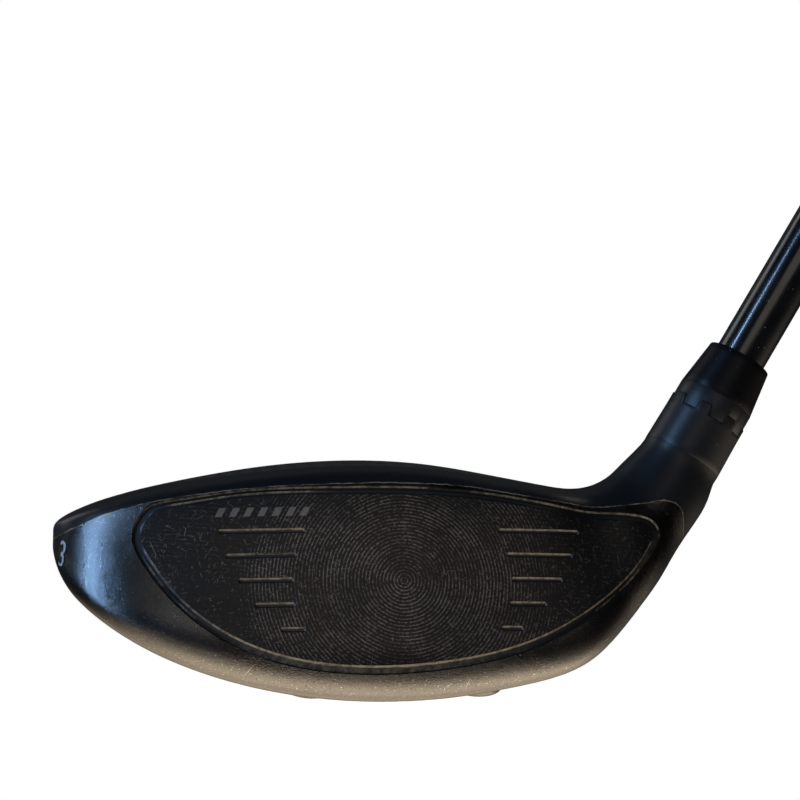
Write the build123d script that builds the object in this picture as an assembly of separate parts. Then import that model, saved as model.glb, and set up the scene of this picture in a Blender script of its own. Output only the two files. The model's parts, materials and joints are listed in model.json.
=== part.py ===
"""Fairway wood with an adjustable hosel: hollow steel head, indexed shaft adapter, graphite shaft and rubber grip.

Row frame, millimetres: the origin is where the shaft axis meets the ground, +X points to the heel side,
+Y points from the face to the back of the head, +Z is up. The sole rails stand on z = 0.
"""

import os
from math import cos, hypot, pi, radians, sin, sqrt

from build123d import *

# ---- driving dimensions -------------------------------------------------------------------------------------
lie_angle = 59.0                 # shaft axis to the ground
loft_angle = 16.0                # face to the vertical
club_length = 1092.0             # along the shaft axis, ground to the end of the grip
toe_reach = 84.0                 # shaft axis at the ground to the end of the toe
crown_height = 40.6
head_back = 62.5                 # shaft axis to the back of the head
face_setback = -17.0             # shaft axis to the middle of the face
face_radius = 280.0              # bulge and roll of the face

# shell
wall = 1.8
face_thickness = 2.6
crown_thickness = 1.0
bond_thickness = 0.15
ledge_width = 6.0

# face details
groove_width = 1.5
groove_depth = 0.45
score_width = 0.9
score_depth = 0.4
score_pitch = 4.1
score_top = 8.5                  # first score line above the face centre

# shaft tip, and the fits built round it from the inside out
tip_radius = 4.55
tip_wall = 1.3
bond_gap = 0.1
sleeve_wall = 1.05
sleeve_clearance = 0.05
bore_radius = tip_radius + bond_gap + sleeve_wall + sleeve_clearance
hosel_wall = 1.45
hosel_radius = bore_radius + hosel_wall

# hosel and collar; stations are measured along the shaft axis from the ground
hosel_top = 48.7
bore_step = 35.5                 # the bore narrows below this station
tube_wall = 1.3
collar_top = 56.4
collar_taper = 0.15              # the collar is this much slimmer at its teeth
collar_spigot = 4.0
collar_spigot_wall = 0.7
tooth_count = 8
tooth_height = 1.8
tooth_width = 2.7
tooth_slope = 0.45               # each flank leans over by this much
tooth_gap = 0.06
collar_top_radius = hosel_radius - collar_taper

# adapter screw, M5 with a six-lobe socket
screw_radius = 2.45
thread_clearance = 0.05
screw_engagement = 8.0
screw_head_radius = screw_radius + 1.25
screw_head_height = 3.6
screw_socket_radius = 2.0
screw_socket_depth = 2.2
washer_thickness = 0.8
washer_clearance = 0.2
retainer_gap = 0.3
retainer_thickness = 0.7
retainer_width = 1.3

# its seat in the heel
seat_top = 25.5
seat_bottom = 24.0
seat_hole_radius = screw_radius + 0.3
port_radius = screw_head_radius + 0.4

# shaft adapter
spigot_wall = 1.85
sleeve_bottom = 26.5
spigot_radius = screw_radius + thread_clearance + spigot_wall
spigot_bore_radius = spigot_radius + sleeve_clearance
flange_top = 60.7
flange_radius = collar_top_radius - 0.2
cup_bottom = 36.5                # floor of the shaft cup in the sleeve
ferrule_top = 69.1
ferrule_top_radius = tip_radius + 1.2

# shaft
tip_length = 150.0               # parallel part of the tip
butt_radius = 7.6
butt_wall = 0.9
butt_length = 250.0              # parallel part of the butt

# swing weight pin in the shaft tip
pin_length = 16.0
pin_flange = 1.0

# grip
grip_length = 268.0
grip_mouth_radius = 9.3
grip_butt_radius = 12.8
tape_thickness = 0.25
cap_radius = 13.4
cap_thickness = 5.0
cap_plug_length = 6.0
cap_plug_wall = 2.0
vent_radius = 1.5

# sole weights with a six-lobe socket
weight_radius = 6.0
weight_flange_radius = weight_radius + 1.6
weight_flange = 2.0
weight_recess = 0.7
weight_length = 6.0              # threaded part
weight_clearance = 0.08
weight_socket_radius = 2.2
weight_socket_depth = 2.2
seal_thickness = 0.8
boss_wall = 1.6
boss_cover = 1.4

# sole rails
rail_half_length = 20.0
rail_half_width = 5.5
rail_half_height = 2.4

# ---- head size ----------------------------------------------------------------------------------------------
# The head's outlines are drawn at this toe reach, depth and height, and stretch to the driving dimensions.
# The heel and the hosel keep their own size.
drawn_toe_reach = 84.0
drawn_head_back = 62.5
drawn_crown_height = 40.6
toe_share = toe_reach / drawn_toe_reach
back_share = head_back / drawn_head_back
height_share = crown_height / drawn_crown_height


def across_at(x):
    """Place across the head: what lies to the toe side of the shaft follows the toe reach."""
    return x * toe_share if x < 0 else x


def back_at(y):
    """Place along the head: what lies behind the shaft follows the depth."""
    return y * back_share if y > 0 else y


# across, back, height of the sole and tilt
rear_weight_place = (across_at(-34.0), back_at(45.0), 5.1 * height_share, 19.0)
front_weight_place = (across_at(-28.0), back_at(6.0), 0.75 * height_share, 0.0)
toe_rail_place = (across_at(-40.5), back_at(9.0))
heel_rail_place = (across_at(-12.0), back_at(9.0))
drawn_face_centre = -27.0
face_centre = (across_at(drawn_face_centre), face_setback, 21.3 * height_share)

# ---- frames -------------------------------------------------------------------------------------------------
lie = radians(lie_angle)
loft = radians(loft_angle)
shaft_axis = Vector(cos(lie), 0, sin(lie))
shaft_side = Vector(sin(lie), 0, -cos(lie))
face_normal = Vector(0, -cos(loft), sin(loft))
face_mid = Vector(*face_centre)
face_ball_centre = face_mid - face_normal * face_radius
face_plane = Plane(origin=face_mid, x_dir=(1, 0, 0), z_dir=face_normal)
shaft_line = Axis((0, 0, 0), shaft_axis)
shaft_section = Plane(origin=(0, 0, 0), x_dir=shaft_side, z_dir=shaft_side.cross(shaft_axis))


def face_y(x, z):
    """Depth of the bulged face at a place in the front view."""
    across = x - face_ball_centre.X
    up = z - face_ball_centre.Z
    return face_ball_centre.Y - sqrt(face_radius**2 - across**2 - up**2)


def on_shaft(along, across):
    """Front-view point from a distance up the shaft axis and a distance to its heel side."""
    point = shaft_axis * along + shaft_side * across
    return point.X, point.Z


def shaft_cylinder(radius, low, high):
    """Cylinder on the shaft axis between two stations."""
    base = Plane(origin=shaft_axis * low, x_dir=(0, 1, 0), z_dir=shaft_axis)
    return base * Cylinder(radius, high - low, align=(Align.CENTER, Align.CENTER, Align.MIN))


def shaft_turned(points):
    """Turned solid about the shaft axis from (radius, station) corners."""
    return revolve(shaft_section * make_face(Polyline(*points, close=True)), axis=shaft_line)


def lobed_socket(radius, depth):
    """Six-lobe socket cutter, open at local z = 0 and going down."""
    star = Circle(radius * 0.8) + [
        Location((radius * 0.72 * cos(k * pi / 3), radius * 0.72 * sin(k * pi / 3))) * Circle(radius * 0.28)
        for k in range(6)
    ]
    return extrude(star, amount=-depth)


# ---- outer skin of the head -----------------------------------------------------------------------------------
# Each station runs across the head: lowest and highest front-view points, back edge, how far the front falls
# behind the bulged face, and how round the section is (0 for the head, 1 for the hosel).
drawn_stations = [
    ((-84.0, 25.4), (-84.0, 28.8), 13.0, 13.6, 0.0),
    ((-83.3, 23.0), (-83.3, 30.0), 20.0, 8.6, 0.0),
    ((-81.0, 19.0), (-81.0, 31.5), 28.5, 4.2, 0.0),
    ((-77.0, 15.2), (-77.0, 33.2), 37.0, 1.6, 0.0),
    ((-70.0, 10.6), (-70.0, 35.3), 45.8, 0.3, 0.0),
    ((-60.0, 6.2), (-60.0, 37.5), 54.0, 0.0, 0.0),
    ((-48.0, 3.0), (-48.0, 39.5), 60.0, 0.0, 0.0),
    ((-34.0, 1.4), (-34.0, 40.6), 62.5, 0.0, 0.0),
    ((-20.0, 1.7), (-20.0, 40.1), 60.0, 0.0, 0.0),
    ((-7.5, 3.5), (-8.5, 38.3), 52.5, 0.0, 0.0),
    ((4.8, 7.4), (0.0, 36.7), 40.5, 0.0, 0.0),
    ((13.2, 13.8), (5.6, 36.1), 26.5, 3.5, 0.2),
    ((19.8, 20.8), (9.6, 36.9), 16.2, 4.5, 0.5),
    ((24.4, 26.8), (12.3, 38.5), 10.6, 4.5, 0.8),
    (on_shaft(42.3, hosel_radius + 0.65), on_shaft(42.3, -hosel_radius - 1.3), hosel_radius + 1.1, 0.0, 1.0),
    (on_shaft(45.7, hosel_radius + 0.25), on_shaft(45.7, -hosel_radius - 0.4), hosel_radius + 0.3, 0.0, 1.0),
    (on_shaft(hosel_top, hosel_radius), on_shaft(hosel_top, -hosel_radius), hosel_radius, 0.0, 1.0),
]


def sized_station(low, high, back, setback, round_share):
    """Station at the head's own size; the rounder it is, the less it changes."""
    free = 1 - round_share
    rise = 1 + (height_share - 1) * free

    def placed(point):
        x, z = point
        return x + (across_at(x) - x) * free, z * rise

    return placed(low), placed(high), back + (back_at(back) - back) * free, setback, round_share


head_stations = [sized_station(*station) for station in drawn_stations]
hollow_from = 3                  # the hollow runs from this station
hollow_to = 12                   # to the one before this
face_from = 1                    # the face lies between this station
face_to = 15                     # and the one before this

# Profile of a station, from the back of the skirt along the sole, round the leading edge, up the face and over
# the crown: share of the height, share of the depth, and set-back in millimetres at full depth.
profile = [
    (0.40, 1.0, 0.0),
    (0.22, 0.95, 0.0),
    (0.08, 0.76, 0.0),
    (0.0, 0.42, 0.0),
    (0.0, 0.0, 7.5),
    (0.045, 0.0, 1.9),
    (0.15, 0.0, 0.0),
    (0.38, 0.0, 0.0),
    (0.62, 0.0, 0.0),
    (0.84, 0.0, 0.0),
    (0.93, 0.0, 0.8),
    (0.975, 0.0, 7.5),
    (1.0, 0.24, 0.0),
    (0.94, 0.52, 0.0),
    (0.75, 0.80, 0.0),
    (0.56, 0.95, 0.0),
]
first_turn = 191.25              # where the profile starts on the round section
full_depth = 78.0                # a station this deep has the full set-back


def station_points(station, inset):
    """Points of one section of the skin, moved inwards by inset."""
    (low_x, low_z), (high_x, high_z), back, setback, round_share = station
    height = hypot(high_x - low_x, high_z - low_z)
    flat = []
    for index, (rise, depth_share, step) in enumerate(profile):
        x = low_x + rise * (high_x - low_x)
        z = low_z + rise * (high_z - low_z)
        front = face_y(x, z) + setback
        depth = back - front
        y = front + depth_share * depth + step * min(1.0, depth / full_depth)
        turn = radians(first_turn + 22.5 * index)
        round_rise = 0.5 + 0.5 * sin(turn)
        round_y = -back * cos(turn)
        flat.append(
            (
                (rise + (round_rise - rise) * round_share) * height,
                y + (round_y - y) * round_share,
            )
        )
    moved = []
    for index, (up, y) in enumerate(flat):
        ahead = flat[(index + 1) % len(flat)]
        behind = flat[index - 1]
        along_up, along_y = ahead[0] - behind[0], ahead[1] - behind[1]
        size = hypot(along_up, along_y)
        moved.append((up - inset * along_y / size, y + inset * along_up / size))
    return [
        Vector(low_x + up / height * (high_x - low_x), y, low_z + up / height * (high_z - low_z))
        for up, y in moved
    ]


def skin(inset=0.0, stations=None):
    """Solid inside the head's outer surface, moved inwards by inset."""
    chosen = stations or head_stations
    rings = []
    for station in chosen:
        points = station_points(station, inset)
        if inset and station is chosen[0]:
            points = [point + Vector(inset, 0, 0) for point in points]
        rings.append(Wire([Edge.make_spline(points, periodic=True)]))
    return Solid.make_loft(rings)


# ---- outlines -----------------------------------------------------------------------------------------------
# Machined groove round the striking face, across and up from the face centre.
groove_outline = [
    (-43.3, 8.3),
    (-42.6, 10.8),
    (-40.9, 12.7),
    (-37.1, 13.6),
    (-29.8, 14.6),
    (-10.2, 15.4),
    (6.6, 15.2),
    (20.2, 13.7),
    (32.4, 11.8),
    (41.0, 11.3),
    (43.6, 10.4),
    (44.4, 9.1),
    (43.8, 7.1),
    (40.7, 2.7),
    (33.1, -4.0),
    (22.3, -10.0),
    (7.0, -13.8),
    (-9.3, -14.4),
    (-23.7, -11.4),
    (-34.8, -4.6),
    (-42.0, 4.6),
]

# Each score line in two halves: where the toe half starts and ends, then the heel half.
score_ends = [
    (-30.2, -16.0, 16.2, 30.3),
    (-29.0, -17.4, 17.4, 28.9),
    (-27.0, -18.0, 18.0, 26.9),
    (-24.4, -17.8, 17.5, 23.9),
    (-20.4, -16.2, 15.8, 19.6),
]

# Carbon crown panel seen from above.
crown_outline = [
    (-73.0, 15.0),
    (-64.0, 3.5),
    (-48.0, -0.5),
    (-28.0, -2.0),
    (-9.0, -0.5),
    (0.5, 5.0),
    (1.0, 15.0),
    (-4.5, 29.0),
    (-13.0, 42.0),
    (-24.0, 51.0),
    (-37.0, 54.0),
    (-50.0, 50.5),
    (-60.0, 44.0),
    (-68.5, 34.5),
    (-73.0, 25.0),
]
crown_centre = (-36.0, 26.0)
crown_base = 22.0                # the panel lies above this height


def face_place(across, up):
    """Place on the face at the head's own size."""
    x = drawn_face_centre + across
    return across_at(x) - face_centre[0], up * height_share


def closed_face(points):
    """Flat face inside a smooth closed outline."""
    return make_face(Edge.make_spline([Vector(x, y, 0) for x, y in points], periodic=True))


def crown_prism(shrink=0.0):
    """Upright prism over the crown panel, its outline drawn in by about shrink."""
    reach = (crown_outline[4][0] - crown_outline[0][0]) / 2
    share = 1 - shrink / reach
    x0, y0 = crown_centre
    drawn = [(x0 + share * (x - x0), y0 + share * (y - y0)) for x, y in crown_outline]
    placed = [(across_at(x), back_at(y)) for x, y in drawn]
    return Pos(0, 0, crown_base * height_share) * extrude(closed_face(placed), amount=crown_height)


# ---- head ---------------------------------------------------------------------------------------------------
def drawn_outline(points, shift):
    """Closed outline moved outwards by shift."""
    moved = []
    for index, (x, y) in enumerate(points):
        ahead = points[(index + 1) % len(points)]
        behind = points[index - 1]
        along_x, along_y = ahead[0] - behind[0], ahead[1] - behind[1]
        size = hypot(along_x, along_y)
        moved.append((x - shift * along_y / size, y + shift * along_x / size))
    return moved


def face_prism(shift=0.0):
    """Prism along the face normal inside the groove outline, grown by shift."""
    outline = drawn_outline([face_place(*point) for point in groove_outline], shift)
    return face_plane * Pos(0, 0, -8) * extrude(closed_face(outline), amount=14)


def face_ball(depth):
    """Ball whose surface lies this deep under the bulged face."""
    return Location(face_ball_centre) * Sphere(face_radius - depth)


def face_floor(depth):
    """Solid whose surface lies this deep under the skin round the face."""
    return skin(depth, head_stations[face_from:face_to])


def score_lines():
    """Cutters for the score lines, their floors level with the skin."""
    slots = []
    for row, (toe_from, toe_to, heel_from, heel_to) in enumerate(score_ends):
        up = score_top - row * score_pitch
        for start, end in ((toe_from, toe_to), (heel_from, heel_to)):
            start, up_placed = face_place(start, up)
            end = face_place(end, up)[0]
            slots.append(Pos((start + end) / 2, up_placed) * SlotOverall(end - start, score_width))
    floor = face_floor(score_depth)
    bars = [face_plane * Pos(0, 0, -5) * extrude(slot, amount=8) for slot in slots]
    return [bar - floor for bar in bars]


def make_face_plate(outer):
    """Milled striking face set into the front of the head, with half of the rim groove."""
    plate = (outer & face_prism()) - face_ball(face_thickness)
    plate = plate - (face_prism(1) - face_prism(-groove_width / 2) - face_floor(groove_depth))
    for bar in score_lines():
        plate = plate - bar
    return plate


def weight_frame(place):
    """Plane on the sole at a weight, with local z out of the head."""
    x, y, z, tilt = place
    lean = radians(tilt)
    return Plane(origin=(x, y, z), x_dir=(1, 0, 0), z_dir=(0, sin(lean), -cos(lean)))


def weight_disc(place, radius, top, bottom):
    """Cylinder on a weight's axis between two depths below the sole surface."""
    return weight_frame(place) * Pos(0, 0, -bottom) * Cylinder(
        radius, bottom - top, align=(Align.CENTER, Align.CENTER, Align.MIN)
    )


seat_depth = weight_recess + weight_flange + seal_thickness
shank_depth = weight_recess + weight_flange + weight_length


def weight_boss(place):
    """Threaded boss that stands up inside the head."""
    return weight_disc(place, weight_flange_radius + boss_wall, -3, shank_depth + boss_cover)


def weight_hole(place):
    """Counterbore and threaded hole for a weight."""
    mouth = weight_disc(place, weight_flange_radius + weight_clearance, -6, seat_depth)
    hole = weight_disc(place, weight_radius + weight_clearance, seat_depth - 1, shank_depth + 0.5)
    return mouth + hole


def make_weight(place):
    """Screw-in sole weight."""
    flange = weight_disc(place, weight_flange_radius, weight_recess, weight_recess + weight_flange)
    shank = weight_disc(place, weight_radius, weight_recess + weight_flange - 0.5, shank_depth)
    socket = weight_frame(place) * Pos(0, 0, -weight_recess) * lobed_socket(
        weight_socket_radius, weight_socket_depth
    )
    return flange + shank - socket


def make_weight_seal(place):
    """Flat ring under a weight's flange."""
    ring = weight_disc(place, weight_flange_radius, weight_recess + weight_flange, seat_depth)
    return ring - weight_disc(place, weight_radius + weight_clearance, 0, seat_depth + 1)


def hosel_tube():
    """Solid core round the shaft bore, before it is bored."""
    upper = shaft_cylinder(bore_radius + tube_wall, bore_step - 1.5, hosel_top)
    lower = shaft_cylinder(spigot_bore_radius + tube_wall, 5, bore_step)
    return upper + lower


def hosel_bore():
    """Stepped bore, screw hole and wrench port on the shaft axis."""
    upper = shaft_cylinder(bore_radius, bore_step, hosel_top + 5)
    lower = shaft_cylinder(spigot_bore_radius, seat_top, bore_step + 1)
    hole = shaft_cylinder(seat_hole_radius, seat_bottom - 1, seat_top + 1)
    port = shaft_cylinder(port_radius, -10, seat_bottom)
    counterbore = shaft_cylinder(bore_radius + collar_spigot_wall, hosel_top - collar_spigot, hosel_top + 5)
    return upper + lower + hole + port + counterbore


def sole_rail(x, y):
    """Low rounded rail along the sole, its lowest line on the ground."""
    half = (rail_half_width, rail_half_length, rail_half_height)
    return Pos(x, y, rail_half_height) * scale(Sphere(1), by=half)


def make_head_body(outer):
    """Cast shell with hosel, rails, weight bosses and the openings for the face and crown."""
    hollow = skin(wall, head_stations[hollow_from:hollow_to])
    panel_inner = skin(crown_thickness + bond_thickness, head_stations[hollow_from - 1 : hollow_to])
    body = outer - hollow
    body = body + (outer & hosel_tube())
    for place in (rear_weight_place, front_weight_place):
        body = body + (outer & weight_boss(place))
    body = body + sole_rail(*toe_rail_place) + sole_rail(*heel_rail_place)
    body = body - ((outer - panel_inner) & crown_prism())
    body = body - (crown_prism(ledge_width) - hosel_tube())
    body = body - face_prism()
    body = body - (face_prism(groove_width / 2) - face_floor(groove_depth))
    for place in (rear_weight_place, front_weight_place):
        body = body - weight_hole(place)
    return body - hosel_bore()


def make_crown(outer):
    """Crown panel and the adhesive film that holds it on its ledge."""
    top = outer & crown_prism()
    chosen = head_stations[hollow_from - 1 : hollow_to]
    panel = top - skin(crown_thickness, chosen)
    film = (skin(crown_thickness, chosen) - skin(crown_thickness + bond_thickness, chosen)) & crown_prism()
    return panel, film - crown_prism(ledge_width)


# ---- hosel collar and shaft adapter -------------------------------------------------------------------------
def collar_teeth(grow=0.0):
    """Ring of sloped index teeth that stand up from the collar, grown all round by grow."""
    half = tooth_width / 2 + grow
    top = half - tooth_slope
    low = collar_top - 0.5
    high = collar_top + tooth_height + grow
    corners = [(-half, low), (half, low), (half, collar_top), (top, high), (-top, high), (-half, collar_top)]
    side = Plane(origin=(0, 0, 0), x_dir=shaft_side.cross(shaft_axis), z_dir=-shaft_side)
    outline = make_face(Polyline(*corners, close=True))
    tooth = extrude(side * outline, amount=collar_top_radius + 1, dir=shaft_side)
    return [tooth.rotate(shaft_line, (k + 0.5) * 360 / tooth_count) for k in range(tooth_count)]


def make_collar():
    """Index collar bonded into the mouth of the hosel."""
    base = shaft_turned(
        [
            (bore_radius, hosel_top - collar_spigot),
            (bore_radius + collar_spigot_wall, hosel_top - collar_spigot),
            (bore_radius + collar_spigot_wall, hosel_top),
            (hosel_radius, hosel_top),
            (collar_top_radius, collar_top - 0.6),
            (collar_top_radius, collar_top),
            (bore_radius, collar_top),
        ]
    )
    low = collar_top - 0.4
    high = collar_top + tooth_height + 1
    outer = collar_top_radius
    ring = shaft_turned([(bore_radius, low), (outer, low), (outer, high), (bore_radius, high)])
    for tooth in collar_teeth():
        base = base + (tooth & ring)
    return base


def make_sleeve():
    """Shaft adapter: indexed flange, shaft cup and threaded spigot."""
    barrel_radius = bore_radius - sleeve_clearance
    barrel = shaft_turned(
        [
            (0, sleeve_bottom),
            (spigot_radius, sleeve_bottom),
            (spigot_radius, bore_step + 0.3),
            (barrel_radius, bore_step + 0.8),
            (barrel_radius, flange_top),
            (0, flange_top),
        ]
    )
    flange = shaft_cylinder(flange_radius, collar_top + tooth_gap, flange_top)
    for tooth in collar_teeth(tooth_gap):
        flange = flange - tooth
    cup = shaft_cylinder(tip_radius + bond_gap, cup_bottom, flange_top + 1)
    thread = shaft_cylinder(screw_radius + thread_clearance, sleeve_bottom - 1, cup_bottom - 0.8)
    return barrel + flange - cup - thread


def make_ferrule():
    """Tapered ferrule between the adapter and the shaft."""
    round_over = 1.0
    ferrule = shaft_turned(
        [
            (tip_radius + bond_gap, flange_top),
            (flange_radius, flange_top),
            (ferrule_top_radius, ferrule_top),
            (tip_radius + bond_gap, ferrule_top),
        ]
    )
    rim = ferrule.edges().filter_by(GeomType.CIRCLE).sort_by(shaft_line)[-1]
    return fillet(rim, round_over)


def make_screw():
    """Captive adapter screw."""
    washer_under = seat_bottom - washer_thickness
    head = shaft_cylinder(screw_head_radius, washer_under - screw_head_height, washer_under)
    shank = shaft_cylinder(screw_radius, washer_under - 0.5, sleeve_bottom + screw_engagement)
    place = Plane(
        origin=shaft_axis * (washer_under - screw_head_height), x_dir=(0, 1, 0), z_dir=-shaft_axis
    )
    return head + shank - place * lobed_socket(screw_socket_radius, screw_socket_depth)


def make_screw_washer():
    """Washer between the screw head and the web in the heel."""
    ring = shaft_cylinder(screw_head_radius + 0.1, seat_bottom - washer_thickness, seat_bottom)
    return ring - shaft_cylinder(screw_radius + washer_clearance, seat_bottom - 3, seat_bottom + 1)


def make_screw_retainer():
    """Push-in ring that keeps the screw in the heel."""
    top = seat_bottom - washer_thickness - screw_head_height - retainer_gap
    ring = shaft_cylinder(port_radius, top - retainer_thickness, top)
    return ring - shaft_cylinder(port_radius - retainer_width, top - 3, top + 1)


# ---- shaft and grip -----------------------------------------------------------------------------------------
grip_top = club_length - cap_thickness
grip_mouth = grip_top - grip_length


def shaft_radius(station):
    """Outer radius of the tapered shaft at a station."""
    low = cup_bottom + pin_flange + tip_length
    high = grip_top - butt_length
    share = min(1.0, max(0.0, (station - low) / (high - low)))
    return tip_radius + share * (butt_radius - tip_radius)


def make_shaft():
    """Tapered tube from the adapter to the grip cap."""
    base = cup_bottom + pin_flange
    low = base + tip_length
    high = grip_top - butt_length
    return shaft_turned(
        [
            (tip_radius - tip_wall, base),
            (tip_radius, base),
            (tip_radius, low),
            (butt_radius, high),
            (butt_radius, grip_top),
            (butt_radius - butt_wall, grip_top),
            (butt_radius - butt_wall, high),
            (tip_radius - tip_wall, low),
        ]
    )


def make_shaft_bond():
    """Epoxy between the shaft tip and the adapter cup."""
    film = shaft_cylinder(tip_radius + bond_gap, cup_bottom + pin_flange, flange_top)
    return film - shaft_cylinder(tip_radius, cup_bottom, flange_top + 1)


def make_tip_pin():
    """Swing weight pin: a flange under the shaft and a stem inside it."""
    flange = shaft_cylinder(tip_radius, cup_bottom, cup_bottom + pin_flange)
    return flange + shaft_cylinder(tip_radius - tip_wall, cup_bottom, cup_bottom + pin_length)


def make_tape():
    """Double-sided tape between shaft and grip."""
    start = grip_mouth + 4
    tape = shaft_cylinder(butt_radius + tape_thickness, max(start, grip_top - butt_length), grip_top)
    return tape - shaft_cylinder(butt_radius, grip_mouth - 1, grip_top + 1)


def make_grip():
    """Moulded rubber grip."""
    tape_start = max(grip_mouth + 4, grip_top - butt_length)
    return shaft_turned(
        [
            (shaft_radius(grip_mouth), grip_mouth),
            (grip_mouth_radius - 0.8, grip_mouth),
            (grip_mouth_radius, grip_mouth + 1.2),
            (grip_butt_radius, grip_top),
            (butt_radius + tape_thickness, grip_top),
            (butt_radius + tape_thickness, tape_start),
            (butt_radius, tape_start),
        ]
    )


def make_grip_cap():
    """End cap with a hollow plug in the shaft and a vent hole."""
    cap = shaft_cylinder(cap_radius, grip_top, grip_top + cap_thickness)
    rims = cap.edges().filter_by(GeomType.CIRCLE).sort_by(shaft_line)
    cap = fillet(rims[-1], 2.2)
    plug_radius = butt_radius - butt_wall
    plug = shaft_cylinder(plug_radius, grip_top - cap_plug_length, grip_top + 0.5)
    plug = plug - shaft_cylinder(plug_radius - cap_plug_wall, grip_top - cap_plug_length - 1, grip_top)
    return cap + plug - shaft_cylinder(vent_radius, grip_top - 1, club_length + 1)


# ---- parts --------------------------------------------------------------------------------------------------
def make_parts():
    """Every node by name."""
    outer = skin()
    crown_panel, crown_bond = make_crown(outer)
    return {
        "head_body": make_head_body(outer),
        "face_plate": make_face_plate(outer),
        "crown_panel": crown_panel,
        "crown_bond": crown_bond,
        "rear_weight": make_weight(rear_weight_place),
        "rear_weight_seal": make_weight_seal(rear_weight_place),
        "front_weight": make_weight(front_weight_place),
        "front_weight_seal": make_weight_seal(front_weight_place),
        "hosel_collar": make_collar(),
        "adapter_sleeve": make_sleeve(),
        "adapter_screw": make_screw(),
        "screw_washer": make_screw_washer(),
        "screw_retainer": make_screw_retainer(),
        "ferrule": make_ferrule(),
        "shaft": make_shaft(),
        "shaft_bond": make_shaft_bond(),
        "tip_pin": make_tip_pin(),
        "grip_tape": make_tape(),
        "grip": make_grip(),
        "grip_cap": make_grip_cap(),
    }


if __name__ == "__main__":
    os.makedirs("parts", exist_ok=True)
    for name, shape in make_parts().items():
        solids = shape.solids()
        print(name, len(solids), [round(solid.volume, 2) for solid in solids][:6], shape.is_valid)
        export_step(shape, f"parts/{name}.step")
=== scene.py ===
import json
from math import cos, pi, radians, sin

import bpy
from mathutils import Matrix, Vector

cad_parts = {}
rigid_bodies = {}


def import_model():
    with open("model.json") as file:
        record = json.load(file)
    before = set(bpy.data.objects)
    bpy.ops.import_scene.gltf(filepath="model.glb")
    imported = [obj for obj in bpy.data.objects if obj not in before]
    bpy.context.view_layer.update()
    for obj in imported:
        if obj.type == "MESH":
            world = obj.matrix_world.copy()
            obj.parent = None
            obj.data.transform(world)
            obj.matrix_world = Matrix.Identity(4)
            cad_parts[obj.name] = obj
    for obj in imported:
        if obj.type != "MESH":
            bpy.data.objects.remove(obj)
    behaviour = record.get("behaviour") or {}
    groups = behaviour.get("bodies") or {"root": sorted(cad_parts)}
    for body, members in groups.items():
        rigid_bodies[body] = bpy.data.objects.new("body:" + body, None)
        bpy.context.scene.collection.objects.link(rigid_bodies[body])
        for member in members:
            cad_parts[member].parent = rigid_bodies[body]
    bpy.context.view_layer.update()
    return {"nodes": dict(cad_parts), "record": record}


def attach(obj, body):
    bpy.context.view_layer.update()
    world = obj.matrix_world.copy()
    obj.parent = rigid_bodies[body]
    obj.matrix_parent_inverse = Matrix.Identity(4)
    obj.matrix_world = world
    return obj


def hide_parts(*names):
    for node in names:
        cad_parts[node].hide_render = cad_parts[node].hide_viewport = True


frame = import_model()
nodes = frame["nodes"]
bodyOf = {n: body for body, names in frame["record"]["behaviour"]["bodies"].items() for n in names}
print("frame loaded:", len(nodes), "nodes")

# the club's main lines, in metres
layout = {
    "lie": radians(59),             # shaft to the ground
    "loft": radians(16),            # face to the vertical
    "faceCentre": (-0.027, -0.017, 0.0213),
}
shaftDir = Vector((cos(layout["lie"]), 0, sin(layout["lie"])))
shaftSide = Vector((sin(layout["lie"]), 0, -cos(layout["lie"])))
shaftFrame = Matrix((shaftSide, Vector((0, 1, 0)), shaftDir)).transposed()
faceDir = Vector((0, -cos(layout["loft"]), sin(layout["loft"])))
faceUp = Vector((0, sin(layout["loft"]), cos(layout["loft"])))
perMetre = 1000                     # millimetres
mergeReach = 0.000001               # points nearer than this are one, metres
smoothAngle = radians(32)           # sharper edges stay sharp


def newMaterial(name):
    mat = bpy.data.materials.new(name)
    mat.use_nodes = True
    tree = mat.node_tree
    return mat, tree, tree.nodes["Principled BSDF"]


def addNode(tree, kind, inputs=None, **settings):
    # inputs maps a socket's name or number to a value or to another node's socket
    node = tree.nodes.new(kind)
    for key, value in settings.items():
        setattr(node, key, value)
    for key, value in (inputs or {}).items():
        if isinstance(value, bpy.types.NodeSocket):
            tree.links.new(value, node.inputs[key])
        else:
            node.inputs[key].default_value = value
    return node


def calc(tree, operation, a, b=0.0, clamp=False):
    return addNode(tree, "ShaderNodeMath", {0: a, 1: b}, operation=operation, use_clamp=clamp).outputs[0]


def ramp(tree, value, low, high, toLow=0.0, toHigh=1.0):
    inputs = {"Value": value, "From Min": low, "From Max": high, "To Min": toLow, "To Max": toHigh}
    return addNode(tree, "ShaderNodeMapRange", inputs, interpolation_type="SMOOTHSTEP").outputs[0]


def blendValue(tree, share, a, b):
    return addNode(tree, "ShaderNodeMix", {0: share, 2: a, 3: b}, data_type="FLOAT").outputs[0]


def blendColour(tree, share, a, b):
    node = tree.nodes.new("ShaderNodeMix")
    node.data_type = "RGBA"
    for number, value in ((0, share), (6, a), (7, b)):
        if isinstance(value, bpy.types.NodeSocket):
            tree.links.new(value, node.inputs[number])
        else:
            node.inputs[number].default_value = value if number == 0 else (*value, 1)
    return node.outputs[2]


def shaded(colour, share):
    return tuple(share * c for c in colour)


def objectSpace(tree):
    return addNode(tree, "ShaderNodeTexCoord").outputs["Object"]


def split(tree, vector):
    return addNode(tree, "ShaderNodeSeparateXYZ", {0: vector}).outputs


def mapped(tree, vector, scale=(1, 1, 1), turn=(0, 0, 0), shift=(0, 0, 0)):
    inputs = {"Vector": vector, "Scale": scale, "Rotation": turn, "Location": shift}
    return addNode(tree, "ShaderNodeMapping", inputs).outputs[0]


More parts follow.
